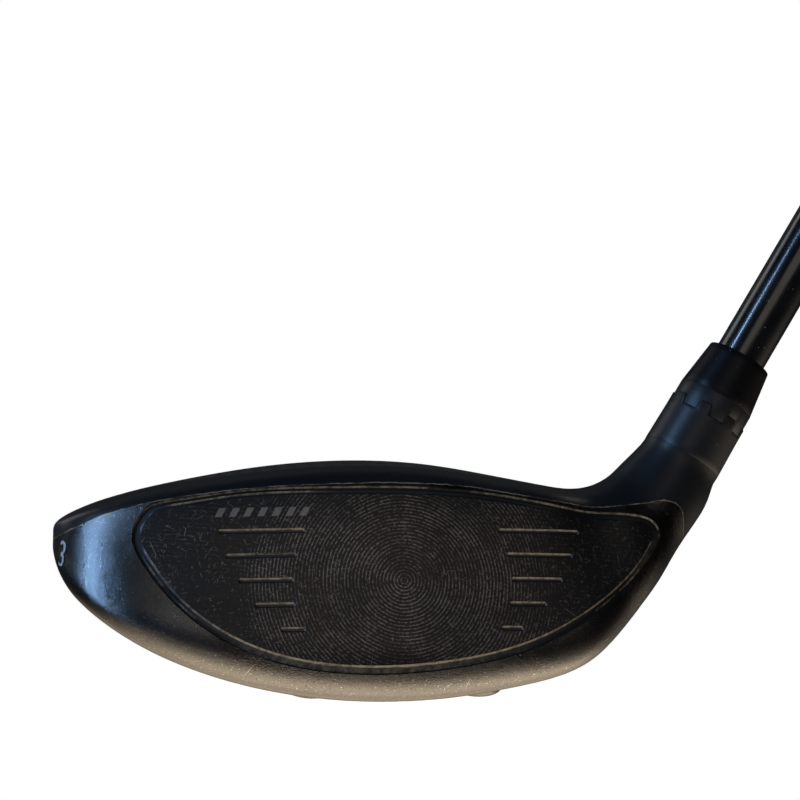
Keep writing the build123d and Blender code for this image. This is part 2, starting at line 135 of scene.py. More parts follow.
def noise(tree, vector, scale, detail=2.0, roughness=0.5):
    inputs = {"Vector": vector, "Scale": scale, "Detail": detail, "Roughness": roughness}
    return addNode(tree, "ShaderNodeTexNoise", inputs).outputs["Fac"]


def bump(tree, height, strength, distance, under=None):
    inputs = {"Height": height, "Strength": strength, "Distance": distance}
    if under:
        inputs["Normal"] = under
    return addNode(tree, "ShaderNodeBump", inputs).outputs[0]


def between(tree, value, low, high, soft):
    rise = ramp(tree, value, low - soft, low + soft)
    return calc(tree, "MULTIPLY", rise, ramp(tree, value, high - soft, high + soft, 1.0, 0.0))


def faceSpace(tree):
    # millimetres across, up and out of the face, from its centre
    turn = -(pi / 2 - layout["loft"])
    centre = Vector(layout["faceCentre"]) * perMetre
    shift = -(Matrix.Rotation(turn, 3, "X") @ centre)
    vector = mapped(tree, objectSpace(tree), (perMetre,) * 3, (turn, 0, 0), shift)
    parts = split(tree, vector)
    return vector, parts[0], parts[1]


hairShape = {
    "solidLength": 0.5,             # shares of the reach and width at full strength
    "solidWidth": 0.4,
    "faintest": 0.35,
}


def hairs(tree, vector, cell, reach, width, share, seed):
    # short straight scratches, one to a cell at the most, each at its own angle
    moved = mapped(tree, vector, shift=(seed, 1.7 * seed, 0))
    flat = addNode(tree, "ShaderNodeVectorMath", {0: moved, 1: (1, 1, 0)}, operation="MULTIPLY").outputs[0]
    cells = addNode(tree, "ShaderNodeTexVoronoi", {"Vector": flat, "Scale": 1 / cell},
                    voronoi_dimensions="2D")
    offset = addNode(tree, "ShaderNodeVectorMath", {0: flat, 1: cells.outputs["Position"]},
                     operation="SUBTRACT")
    chance = split(tree, cells.outputs["Color"])
    turn = calc(tree, "MULTIPLY", chance[0], 2 * pi)
    turned = addNode(tree, "ShaderNodeVectorRotate", {"Vector": offset.outputs[0], "Angle": turn},
                     rotation_type="Z_AXIS").outputs[0]
    parts = split(tree, turned)
    solidLength, solidWidth = hairShape["solidLength"] * reach, hairShape["solidWidth"] * width
    along = ramp(tree, calc(tree, "ABSOLUTE", parts[0]), solidLength, reach, 1.0, 0.0)
    across = ramp(tree, calc(tree, "ABSOLUTE", parts[1]), solidWidth, width, 1.0, 0.0)
    there = calc(tree, "LESS_THAN", chance[1], share)
    level = ramp(tree, chance[2], 0.0, 1.0, hairShape["faintest"], 1.0)
    drawn = calc(tree, "MULTIPLY", calc(tree, "MULTIPLY", along, across), there)
    return calc(tree, "MULTIPLY", drawn, level)


def scratches(tree, vector, sets):
    # hairs of several sizes, each set as hairs takes it from cell to seed
    first, *others = sets
    drawn = hairs(tree, vector, *first)
    for one in others:
        drawn = calc(tree, "MAXIMUM", drawn, hairs(tree, vector, *one))
    return drawn


# heights in millimetres above the face centre, places across from toe (-) to heel (+)
paintEdge = {
    "across": (-64, 56),
    "up": (-30, 20),
    "points": (
        (-64, 8.0), (-58, 9.8), (-54.7, 10.9), (-52.7, 11.5), (-49.7, 12.4), (-46.6, 13.2),
        (-42.7, 14.0), (-36.3, 14.9), (-26.5, 15.9), (-11.8, 16.5), (0, 16.7), (11.7, 16.2),
        (20.3, 14.9), (27.3, 13.9), (34.4, 13.5), (41.7, 14.3), (47, 15.2), (49.5, 14.1),
        (50.2, 11.4), (51.0, 8.0), (53.0, 4.0), (56, 2.0),
    ),
    "skirt": 0.0275,                # height of the edge round the back, metres
    "skirtFall": 90.0,              # how fast it falls towards the back, millimetres to a metre
    "turnsBack": (-0.012, 0.006),   # where the front's edge gives way to it, metres
    "wear": (900.0, 3.0, 0.7),      # noise scale, detail and roughness
    "wearReach": 0.45,
    "dust": (0.26, 0.21, 0.15),
}


def paintShare(tree, across, up):
    # above 0 on the painted crown and hosel, below 0 on the bare steel, in millimetres
    xMin, xMax = paintEdge["across"]
    yMin, yMax = paintEdge["up"]
    along = calc(tree, "DIVIDE", calc(tree, "SUBTRACT", across, xMin), xMax - xMin, clamp=True)
    curve = addNode(tree, "ShaderNodeFloatCurve", {"Value": along})
    line = curve.mapping.curves[0]
    points = [((x - xMin) / (xMax - xMin), (y - yMin) / (yMax - yMin)) for x, y in paintEdge["points"]]
    line.points[0].location = points[0]
    line.points[1].location = points[-1]
    for point in points[1:-1]:
        line.points.new(*point)
    curve.mapping.update()
    edge = calc(tree, "ADD", calc(tree, "MULTIPLY", curve.outputs[0], yMax - yMin), yMin)
    front = calc(tree, "SUBTRACT", up, edge)
    place = split(tree, objectSpace(tree))
    back = calc(tree, "MULTIPLY", calc(tree, "SUBTRACT", place[2], paintEdge["skirt"]), perMetre)
    back = calc(tree, "ADD", back, calc(tree, "MULTIPLY", place[1], paintEdge["skirtFall"]))
    mixed = blendValue(tree, ramp(tree, place[1], *paintEdge["turnsBack"]), front, back)
    wear = calc(tree, "SUBTRACT", noise(tree, objectSpace(tree), *paintEdge["wear"]), 0.5)
    return calc(tree, "ADD", mixed, calc(tree, "MULTIPLY", wear, paintEdge["wearReach"]))


grooveFinish = {
    # near black on the groove floors: painted shade in the hollows
    "paintedShade": (0.004, 0.004, 0.004),
    # dusty gold for the slopes that look down: dust and a painted warm highlight from the light below
    "dust": (0.17, 0.135, 0.09),
    "rub": (900.0, 3.0, 0.8),       # noise scale, detail and roughness
}


def grooveColour(tree, place, colour):
    # painted shade in the hollows, and on the slopes that look down rubbed-in dust that is also a painted
    # warm highlight
    hollowShade = addNode(tree, "ShaderNodeAttribute", attribute_name="grooveShade").outputs["Fac"]
    dustAndHighlight = addNode(tree, "ShaderNodeAttribute", attribute_name="grooveDustAndHighlight").outputs["Fac"]
    rubbed = ramp(tree, noise(tree, place, *grooveFinish["rub"]), 0.38, 0.62, 0.15, 1.0)
    # painted shade: the groove floors go near black
    colour = blendColour(tree, hollowShade, colour, grooveFinish["paintedShade"])
    # dust colour on the slopes that look down, also a painted warm highlight
    return blendColour(tree, calc(tree, "MULTIPLY", dustAndHighlight, rubbed), colour, grooveFinish["dust"]), hollowShade


headFinish = {
    "paint": (0.006, 0.0065, 0.0075),
    "paintRough": 0.38,
    "paintSheen": 0.25,
    "paintStep": (0.8, 0.00005),    # bump strength and depth, metres
    "steel": (0.135, 0.133, 0.13),
    "steelRough": 0.27,
    "blast": (0.75, 0.00006),
    # colour of the scuffs, and of the painted glints
    "scuffAndGlint": (0.5, 0.48, 0.45),
    "scuffShare": 0.35,
    "scuffs": ((4.0, 1.2, 0.06, 0.25, 3.1), (10.0, 2.4, 0.09, 0.25, 8.3)),
    "grain": (4200.0, 2.0, 0.7),    # noise scale, detail and roughness, and so on down
    "cloud": (60.0, 4.0, 0.6),
    "pits": (2100.0, 1.0),
    "glint": (3100.0, 2.0, 0.7),
    "wear": (300.0, 3.0, 0.7),
}


def headMaterial():
    mat, tree, shader = newMaterial("blastedSteelAndPaint")
    vector, across, up = faceSpace(tree)
    place = objectSpace(tree)
    share = paintShare(tree, across, up)
    painted = ramp(tree, share, -0.06, 0.06)
    grain = noise(tree, place, *headFinish["grain"])
    cloud = noise(tree, place, *headFinish["cloud"])
    pits = ramp(tree, noise(tree, place, *headFinish["pits"]), 0.22, 0.27, 0.7, 0.0)
    # painted highlight: light specks standing in for glints on the blasted grain
    glint = ramp(tree, noise(tree, place, *headFinish["glint"]), 0.62, 0.72, 0.0, 0.5)
    plain = headFinish["steel"]
    steel = blendColour(tree, cloud, shaded(plain, 0.7), shaded(plain, 1.15))
    steel = blendColour(tree, ramp(tree, grain, 0.35, 0.65, 0.0, 0.5), steel, shaded(plain, 0.5))
    # painted shade: the sunk pits also go darker
    steel = blendColour(tree, pits, steel, shaded(plain, 0.3))
    steel = blendColour(tree, glint, steel, headFinish["scuffAndGlint"])
    scuffs = scratches(tree, vector, headFinish["scuffs"])
    scuffed = calc(tree, "MULTIPLY", scuffs, headFinish["scuffShare"])
    steel = blendColour(tree, scuffed, steel, headFinish["scuffAndGlint"])
    line = ramp(tree, calc(tree, "ABSOLUTE", share), 0.05, 0.2, 1.0, 0.0)
    worn = ramp(tree, noise(tree, place, *headFinish["wear"]), 0.4, 0.62, 0.1, 0.9)
    colour = blendColour(tree, painted, steel, headFinish["paint"])
    colour = blendColour(tree, calc(tree, "MULTIPLY", line, worn), colour, paintEdge["dust"])
    colour, hollowShade = grooveColour(tree, place, colour)
    tree.links.new(colour, shader.inputs["Base Color"])
    bare = calc(tree, "SUBTRACT", calc(tree, "SUBTRACT", 1.0, painted), hollowShade, clamp=True)
    tree.links.new(bare, shader.inputs["Metallic"])
    rough = blendValue(tree, painted, headFinish["steelRough"], headFinish["paintRough"])
    rough = calc(tree, "ADD", rough, ramp(tree, cloud, 0.3, 0.7, -0.04, 0.06))
    rough = calc(tree, "ADD", rough, calc(tree, "MULTIPLY", hollowShade, 0.2))
    tree.links.new(rough, shader.inputs["Roughness"])
    blast = calc(tree, "MULTIPLY", calc(tree, "SUBTRACT", grain, pits), bare)
    first = bump(tree, blast, *headFinish["blast"])
    tree.links.new(bump(tree, painted, *headFinish["paintStep"], first), shader.inputs["Normal"])
    shader.inputs["Specular IOR Level"].default_value = headFinish["paintSheen"]
    return mat


faceFinish = {
    "steel": (0.036, 0.034, 0.0325),
    "rough": 0.42,
    "ringPitch": 0.58,              # lengths in millimetres
    "ringReach": 27.0,
    "ringSway": 0.35,
    "endPitch": 0.72,
    "endLean": 0.1,
    "endShare": 0.35,               # the end lines' strength beside the rings'
    "cutBump": (0.2, 0.00003),      # bump strength and depth, metres
    # lighter colour on the crests of the mill cuts: painted highlight
    "crestHighlight": (0.21, 0.185, 0.165),
    "scratch": (0.42, 0.385, 0.33),
    "scratchShare": 0.45,
    "scratchBump": (0.4, 0.00003),
    "scratches": (
        (0.9, 0.4, 0.05, 0.45, 0.0), (1.3, 0.6, 0.05, 0.4, 5.3),
        (2.2, 0.9, 0.06, 0.3, 11.9), (6.0, 1.7, 0.07, 0.22, 17.7),
    ),
    "cloud": (45.0, 4.0, 0.6),      # noise scale, detail and roughness
    "mark": ((-36.8, -20.7), (11.0, 12.5), 2.3, (0.22, 0.21, 0.195)),   # along, up, pitch, colour
    "markLean": 0.5,
    "markSoft": 0.05,
    "markShare": 0.8,
}


def millCuts(tree, vector, across, up):
    # rings round the middle, slanting lines at the ends, both broken up
    flat = addNode(tree, "ShaderNodeCombineXYZ", {0: across, 1: up}).outputs[0]
    radius = addNode(tree, "ShaderNodeVectorMath", {0: flat}, operation="LENGTH").outputs["Value"]
    sway = calc(tree, "MULTIPLY", noise(tree, vector, 0.2, 2.0), faceFinish["ringSway"])
    turn = calc(tree, "MULTIPLY", calc(tree, "ADD", radius, sway), 2 * pi / faceFinish["ringPitch"])
    rings = calc(tree, "SINE", turn)
    slant = calc(tree, "ADD", up, calc(tree, "MULTIPLY", across, faceFinish["endLean"]))
    lines = calc(tree, "SINE", calc(tree, "MULTIPLY", slant, 2 * pi / faceFinish["endPitch"]))
    lines = calc(tree, "MULTIPLY", lines, faceFinish["endShare"])
    reach = faceFinish["ringReach"]
    cuts = blendValue(tree, ramp(tree, radius, reach - 5, reach + 3, 1.0, 0.0), lines, rings)
    broken = ramp(tree, noise(tree, vector, 2.2, 2.0, 0.6), 0.36, 0.6, 0.3, 1.0)
    patch = ramp(tree, noise(tree, vector, 0.1, 3.0, 0.6), 0.35, 0.65, 0.45, 1.0)
    return calc(tree, "MULTIPLY", cuts, calc(tree, "MULTIPLY", broken, patch))


def faceMarks(tree, vector, place):
    # hairline scratches in all directions and specks of wear
    fine = scratches(tree, vector, faceFinish["scratches"])
    where = ramp(tree, noise(tree, vector, 0.2, 3.0, 0.7), 0.4, 0.62, 0.06, 1.0)
    speck = ramp(tree, noise(tree, place, 1600.0, 2.0, 0.6), 0.62, 0.72, 0.0, 0.5)
    return calc(tree, "MAXIMUM", calc(tree, "MULTIPLY", fine, where), speck)


def slantedBars(tree, across, up):
    (left, right), (low, high), pitch, tone = faceFinish["mark"]
    soft = faceFinish["markSoft"]
    leaned = calc(tree, "SUBTRACT", across, calc(tree, "MULTIPLY", up, faceFinish["markLean"]))
    bars = ramp(tree, calc(tree, "PINGPONG", leaned, pitch / 2), pitch * 0.24, pitch * 0.28)
    bars = calc(tree, "MULTIPLY", bars, between(tree, leaned, left, right, soft))
    return calc(tree, "MULTIPLY", bars, between(tree, up, low, high, soft)), tone


def faceMaterial():
    mat, tree, shader = newMaterial("milledFace")
    vector, across, up = faceSpace(tree)
    place = objectSpace(tree)
    cuts = millCuts(tree, vector, across, up)
    marks = faceMarks(tree, vector, place)
    cloud = noise(tree, place, *faceFinish["cloud"])
    steel = faceFinish["steel"]
    colour = blendColour(tree, cloud, shaded(steel, 0.6), steel)
    # painted highlight: the crests of the mill cuts go lighter
    crestHighlight = ramp(tree, cuts, 0.1, 0.9, 0.0, 0.9)
    colour = blendColour(tree, crestHighlight, colour, faceFinish["crestHighlight"])
    bars, tone = slantedBars(tree, across, up)
    colour = blendColour(tree, calc(tree, "MULTIPLY", bars, faceFinish["markShare"]), colour, tone)
    scratched = calc(tree, "MULTIPLY", marks, faceFinish["scratchShare"])
    colour = blendColour(tree, scratched, colour, faceFinish["scratch"])
    colour, hollowShade = grooveColour(tree, place, colour)
    tree.links.new(colour, shader.inputs["Base Color"])
    tree.links.new(calc(tree, "SUBTRACT", 0.9, hollowShade, clamp=True), shader.inputs["Metallic"])
    rough = ramp(tree, cloud, 0.3, 0.7, faceFinish["rough"] - 0.05, faceFinish["rough"] + 0.08)
    tree.links.new(rough, shader.inputs["Roughness"])
    onFace = calc(tree, "SUBTRACT", 1.0, hollowShade)
    first = bump(tree, calc(tree, "MULTIPLY", cuts, onFace), *faceFinish["cutBump"])
    second = bump(tree, calc(tree, "MULTIPLY", marks, onFace), *faceFinish["scratchBump"], first)
    tree.links.new(second, shader.inputs["Normal"])
    return mat


satinFinish = {
    "dust": (0.25, 0.24, 0.22),
    "cloud": (70.0, 4.0, 0.6),      # noise scale, detail and roughness
    "specks": (1400.0, 2.0, 0.6),
    "grainBump": 0.4,
}


def satinMaterial(name, colour, rough, metallic=0.0, grainScale=2500.0, grainDepth=0.00002,
                  coat=0.0, sheen=0.5):
    mat, tree, shader = newMaterial(name)
    place = objectSpace(tree)
    cloud = noise(tree, place, *satinFinish["cloud"])
    dust = ramp(tree, noise(tree, place, *satinFinish["specks"]), 0.7, 0.76, 0.0, 0.35)
    tint = blendColour(tree, cloud, shaded(colour, 0.8), shaded(colour, 1.2))
    tree.links.new(blendColour(tree, dust, tint, satinFinish["dust"]), shader.inputs["Base Color"])
    tree.links.new(ramp(tree, cloud, 0.3, 0.7, rough - 0.05, rough + 0.05), shader.inputs["Roughness"])
    shader.inputs["Metallic"].default_value = metallic
    shader.inputs["Coat Weight"].default_value = coat
    shader.inputs["Coat Roughness"].default_value = 0.12
    shader.inputs["Specular IOR Level"].default_value = sheen
    grain = bump(tree, noise(tree, place, grainScale, 2.0), satinFinish["grainBump"], grainDepth)
    tree.links.new(grain, shader.inputs["Normal"])
    return mat


crownFinish = {
    "tow": 0.0022,                  # width of one woven tow, metres
    "turn": radians(45),            # the weave's run over the crown
    "weaveBump": (0.15, 0.00003),   # bump strength and depth, metres
    "dark": (0.004, 0.004, 0.0045),
    "light": (0.017, 0.017, 0.019),
}


def crownMaterial():
    mat, tree, shader = newMaterial("carbonCrown")
    parts = split(tree, mapped(tree, objectSpace(tree), turn=(0, 0, crownFinish["turn"])))
    rate = pi / crownFinish["tow"]
    warp = calc(tree, "SINE", calc(tree, "MULTIPLY", parts[0], rate))
    weft = calc(tree, "SINE", calc(tree, "MULTIPLY", parts[1], rate))
    over = ramp(tree, calc(tree, "MULTIPLY", warp, weft), -0.15, 0.15)
    colour = blendColour(tree, over, crownFinish["dark"], crownFinish["light"])
    tree.links.new(colour, shader.inputs["Base Color"])
    tree.links.new(ramp(tree, over, 0.0, 1.0, 0.34, 0.44), shader.inputs["Roughness"])
    shader.inputs["Coat Weight"].default_value = 0.5
    shader.inputs["Coat Roughness"].default_value = 0.2
    tree.links.new(bump(tree, over, *crownFinish["weaveBump"]), shader.inputs["Normal"])
    return mat


gripFinish = {
    "dark": (0.011, 0.011, 0.012),
    "light": (0.02, 0.02, 0.021),
    # darker colour in the cut lines: painted shade
    "knurl": (0.006, 0.006, 0.006),
    "knurlShadeShare": 0.6,
    "knurlRound": 26.0,             # turns of the pattern round the grip
    "knurlPitch": 0.0032,           # along the grip, metres
    "cutBump": (0.7, 0.00025),      # bump strength and depth, metres
    "grainShare": 0.25,
}


def gripMaterial():
    # rubber with crossed lines cut along and round the grip, painted darker in the lines: painted shade
    mat, tree, shader = newMaterial("gripRubber")
    local = mapped(tree, objectSpace(tree), turn=(0, -(pi / 2 - layout["lie"]), 0))
    parts = split(tree, local)
    angle = calc(tree, "ARCTAN2", parts[1], parts[0])
    around = calc(tree, "MULTIPLY", angle, gripFinish["knurlRound"])
    along = calc(tree, "MULTIPLY", parts[2], 2 * pi / gripFinish["knurlPitch"])
    ribs = calc(tree, "SINE", calc(tree, "ADD", along, around))
    cross = calc(tree, "SINE", calc(tree, "SUBTRACT", along, around))
    knurl = ramp(tree, calc(tree, "MAXIMUM", ribs, cross), 0.55, 0.85)
    cloud = noise(tree, objectSpace(tree), 60.0, 4.0)
    base = blendColour(tree, cloud, gripFinish["dark"], gripFinish["light"])
    # painted shade: the cut lines go darker
    lineShade = calc(tree, "MULTIPLY", knurl, gripFinish["knurlShadeShare"])
    colour = blendColour(tree, lineShade, base, gripFinish["knurl"])
    tree.links.new(colour, shader.inputs["Base Color"])
    shader.inputs["Roughness"].default_value = 0.68
    grain = noise(tree, objectSpace(tree), 2600.0, 2.0)
    grain = calc(tree, "MULTIPLY", grain, gripFinish["grainShare"])
    height = calc(tree, "SUBTRACT", grain, knurl)
    tree.links.new(bump(tree, height, *gripFinish["cutBump"]), shader.inputs["Normal"])
    return mat


headSteel = headMaterial()
milledFace = faceMaterial()
carbonCrown = crownMaterial()
gripRubber = gripMaterial()
anodised = satinMaterial("anodisedBlack", (0.006, 0.0065, 0.0075), 0.42, grainScale=3000.0, sheen=0.3)
ferrulePlastic = satinMaterial("ferrulePlastic", (0.002, 0.002, 0.0025), 0.4,
                               grainScale=2000.0, sheen=0.14)
shaftGloss = satinMaterial("shaftGloss", (0.003, 0.0032, 0.0038), 0.24,
                           grainScale=900.0, grainDepth=0.000003, coat=0.35, sheen=0.35)
weightSteel = satinMaterial("weightSteel", (0.3, 0.3, 0.31), 0.34, metallic=1.0, grainScale=4000.0)
screwBlack = satinMaterial("screwBlack", (0.05, 0.05, 0.052), 0.35, metallic=1.0, grainScale=4000.0)
rubberBlack = satinMaterial("rubberBlack", (0.012, 0.012, 0.012), 0.62,
                            grainScale=1800.0, grainDepth=0.00005)
epoxy = satinMaterial("epoxy", (0.3, 0.28, 0.22), 0.4)
brassPin = satinMaterial("brassPin", (0.6, 0.42, 0.18), 0.3, metallic=1.0)
paperTape = satinMaterial("paperTape", (0.7, 0.68, 0.62), 0.8)
numberInk = satinMaterial("numberInk", (0.2, 0.22, 0.26), 0.5)

finishes = {
    "head_body": headSteel,
    "face_plate": milledFace,
    "crown_panel": carbonCrown,
    "crown_bond": epoxy,
    "rear_weight": weightSteel,
    "rear_weight_seal": rubberBlack,
    "front_weight": weightSteel,
    "front_weight_seal": rubberBlack,
    "hosel_collar": anodised,
    "adapter_sleeve": anodised,
    "adapter_screw": screwBlack,
    "screw_washer": screwBlack,
    "screw_retainer": rubberBlack,
    "ferrule": ferrulePlastic,
    "shaft": shaftGloss,
    "shaft_bond": epoxy,
    "tip_pin": brassPin,
    "grip_tape": paperTape,
    "grip": gripRubber,
    "grip_cap": rubberBlack,
}
for name, mat in finishes.items():
    for slot in nodes[name].material_slots:
        slot.material = mat
print("materials set")


def onlySelect(piece):
    bpy.ops.object.select_all(action="DESELECT")
    piece.select_set(True)
    bpy.context.view_layer.objects.active = piece


def standFor(piece, node):
    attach(piece, bodyOf[node])
    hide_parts(node)


def mergedCopy(node, name):
    # the CAD shape with its loose triangles joined up
    piece = bpy.data.objects.new(name, nodes[node].data.copy())
    bpy.context.scene.collection.objects.link(piece)
    onlySelect(piece)
    if piece.data.has_custom_normals:
        bpy.ops.mesh.customdata_custom_splitnormals_clear()
    bpy.ops.object.mode_set(mode="EDIT")
    bpy.ops.mesh.select_all(action="SELECT")
    bpy.ops.mesh.remove_doubles(threshold=mergeReach)
    bpy.ops.object.mode_set(mode="OBJECT")
    return piece


def pickPoints(mesh, chosen):
    # selects only these points, in object mode
    mesh.vertices.foreach_set("select", [i in chosen for i in range(len(mesh.vertices))])
    mesh.edges.foreach_set("select", [False] * len(mesh.edges))
    mesh.polygons.foreach_set("select", [False] * len(mesh.polygons))


def pickFaces(mesh, chosen):
    points = {v for i in chosen for v in mesh.polygons[i].vertices}
    pickPoints(mesh, points)
    mesh.polygons.foreach_set("select", [i in chosen for i in range(len(mesh.polygons))])


grooves = {
    "depth": (0.0002, 0.00075),     # wall heights that count as a groove's, metres
    "inset": 0.0003,                # from the wall to the bottom of the hollow
    "lift": 0.00022,                # how far the floor comes up at its walls
    "facing": 0.6,                  # a floor's normal along the face's is above this
    "upright": 0.5,                 # and a wall's is below this
    "wallShare": 0.25,              # the least share of a floor's edge that has low walls
    "dustAndHighlightSlope": (2.2, 0.15),       # gain and threshold for the dust and painted warm highlight on slopes that look down
}


def facingPatches(mesh):
    # joined areas of faces that look the way the striking face does
    facesAt = {}
    for face in mesh.polygons:
        if face.normal.dot(faceDir) > grooves["facing"]:
            for key in face.edge_keys:
                facesAt.setdefault(key, []).append(face.index)
    patchOf = {}
    for start in {i for found in facesAt.values() for i in found}:
        if start in patchOf:
            continue
        patchOf[start] = start
        waiting = [start]
        while waiting:
            face = mesh.polygons[waiting.pop()]
            for key in face.edge_keys:
                for other in facesAt[key]:
                    if other not in patchOf:
                        patchOf[other] = start
                        waiting.append(other)
    return patchOf


def grooveFloors(mesh):
    # a floor is a patch with low walls rising from a good part of its edge
    low, high = grooves["depth"]
    patchOf = facingPatches(mesh)
    walls = {}
    for face in mesh.polygons:
        if abs(face.normal.dot(faceDir)) < grooves["upright"]:
            for key in face.edge_keys:
                walls[key] = face
    edgeCount, footEdges = {}, {}
    for index, patch in patchOf.items():
        for key in mesh.polygons[index].edge_keys:
            if key not in walls:
                continue
            edgeCount[patch] = edgeCount.get(patch, 0) + 1
            foot = mesh.vertices[key[0]].co
            rise = max((mesh.vertices[v].co - foot).dot(faceDir) for v in walls[key].vertices)
            if low < rise < high:
                footEdges.setdefault(patch, []).append(key)
    least = grooves["wallShare"]
    kept = {patch for patch, keys in footEdges.items() if len(keys) > least * edgeCount[patch]}
    feet = {v for patch in kept for key in footEdges[patch] for v in key}
    return {index for index, patch in patchOf.items() if patch in kept}, feet


def shapeGrooves(piece):
    # square grooves become hollow ones, with attributes for the painted shade in their hollows and for the
    # dust with a painted warm highlight on their upper slopes
    mesh = piece.data
    floors, feet = grooveFloors(mesh)
    # painted shade mask: 1 on the groove floors
    paintedShade = mesh.attributes.new("grooveShade", "FLOAT", "FACE")
    paintedShade.data.foreach_set("value", [1.0 if i in floors else 0.0 for i in range(len(mesh.polygons))])
    spots = {tuple(round(c, 6) for c in mesh.vertices[i].co) for i in feet}
    onlySelect(piece)
    pickFaces(mesh, floors)
    bpy.ops.object.mode_set(mode="EDIT")
    bpy.ops.mesh.select_mode(type="FACE")
    bpy.ops.mesh.inset(thickness=grooves["inset"], depth=0, use_even_offset=True)
    bpy.ops.object.mode_set(mode="OBJECT")
    raised = {v.index for v in mesh.vertices if tuple(round(c, 6) for c in v.co) in spots}
    pickPoints(mesh, raised)
    bpy.ops.object.mode_set(mode="EDIT")
    bpy.ops.mesh.select_mode(type="VERT")
    bpy.ops.transform.translate(value=faceDir * grooves["lift"])
    bpy.ops.object.mode_set(mode="OBJECT")
    mesh.update()
    hollowShade = [0.0] * len(mesh.polygons)
    mesh.attributes["grooveShade"].data.foreach_get("value", hollowShade)
    # the dust and painted warm highlight, on groove faces that look down
    dust = mesh.attributes.new("grooveDustAndHighlight", "FLOAT", "FACE")
    gain, least = grooves["dustAndHighlightSlope"]
    slopes = [min(1.0, max(0.0, -gain * face.normal.dot(faceUp) - least)) for face in mesh.polygons]
    dust.data.foreach_set("value", [a * b for a, b in zip(hollowShade, slopes)])
    print(piece.name, len(floors), "groove faces")


brokenEdge = {
    "width": 0.00015,               # metres
    "segments": 2,
    "angle": radians(35),           # flatter edges are left alone
}


def rounded(node, name):
    # the CAD shape with its sharp edges broken
    piece = mergedCopy(node, name)
    edge = piece.modifiers.new("edges", "BEVEL")
    edge.width = brokenEdge["width"]
    edge.segments = brokenEdge["segments"]
    edge.limit_method = "ANGLE"
    edge.angle_limit = brokenEdge["angle"]
    bpy.ops.object.modifier_apply(modifier="edges")
    finish(piece, node)


def finish(piece, node):
    onlySelect(piece)
    bpy.ops.object.shade_smooth_by_angle(angle=smoothAngle)
    piece.data.materials.clear()
    piece.data.materials.append(finishes[node])
    standFor(piece, node)


for node, name in (("face_plate", "faceInsert"), ("head_body", "headShell")):
    piece = mergedCopy(node, name)
    shapeGrooves(piece)
    finish(piece, node)
for node, name in (
    ("hosel_collar", "collarEdged"), ("adapter_sleeve", "sleeveEdged"), ("ferrule", "ferruleEdged"),
    ("rear_weight", "rearWeightEdged"), ("front_weight", "frontWeightEdged"),
):
    rounded(node, name)
print("head and hosel pieces shaped")


toeNumber = {
    "text": "3",
    "height": 0.0044,
    "place": (-0.0823, -0.0043, 0.0245),
    "outward": (-0.87, -0.45, 0.2),
    "lift": 0.0001,                 # above the paint, metres
    "capShare": 0.7,                # a figure's height over its font's size
    "standOff": 0.002,              # before it is laid on, metres
    "cuts": 2,
}


def makeToeNumber():
    # a painted figure laid on the toe
    out = Vector(toeNumber["outward"]).normalized()
    across = Vector((0, 0, 1)).cross(out).normalized()
    turn = Matrix((across, out.cross(across), out)).transposed().to_4x4()
    bpy.ops.object.select_all(action="DESELECT")
    bpy.ops.object.text_add(location=(0, 0, 0))
    text = bpy.context.object
    text.data.body = toeNumber["text"]
    text.data.align_x = "CENTER"
    text.data.align_y = "CENTER"
    text.data.size = toeNumber["height"] / toeNumber["capShare"]
    text.data.resolution_u = 6
    bpy.ops.object.convert(target="MESH")
    piece = bpy.context.object
    piece.name = "toeFigure"
    start = Vector(toeNumber["place"]) + toeNumber["standOff"] * out
    piece.matrix_world = Matrix.Translation(start) @ turn
    bpy.ops.object.transform_apply(location=True, rotation=True, scale=True)
    bpy.ops.object.mode_set(mode="EDIT")
    bpy.ops.mesh.select_all(action="SELECT")
    bpy.ops.mesh.subdivide(number_cuts=toeNumber["cuts"])
    bpy.ops.object.mode_set(mode="OBJECT")
    wrap = piece.modifiers.new("lay", "SHRINKWRAP")
    wrap.target = nodes["head_body"]
    wrap.offset = toeNumber["lift"]
    bpy.ops.object.modifier_apply(modifier="lay")
    bpy.ops.object.shade_smooth()
    piece.data.materials.append(numberInk)
    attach(piece, "head")


makeToeNumber()


gripShape = {
    "mouth": 0.819,                 # places along the shaft, metres
    "top": 1.087,
    "lip": (0.0085, 0.0012),        # radius and length of the rounded mouth
    "radii": (0.0093, 0.0128),
    "bore": 0.0078,
    "grooves": (0.012, 0.018, 0.024, 0.226, 0.238, 0.25),   # from the mouth
    "groove": (0.0018, 0.0006),     # width and depth
    "floorSpan": (0.3, 0.7),        # where a groove's floor is, over its width
    "sides": 64,
}


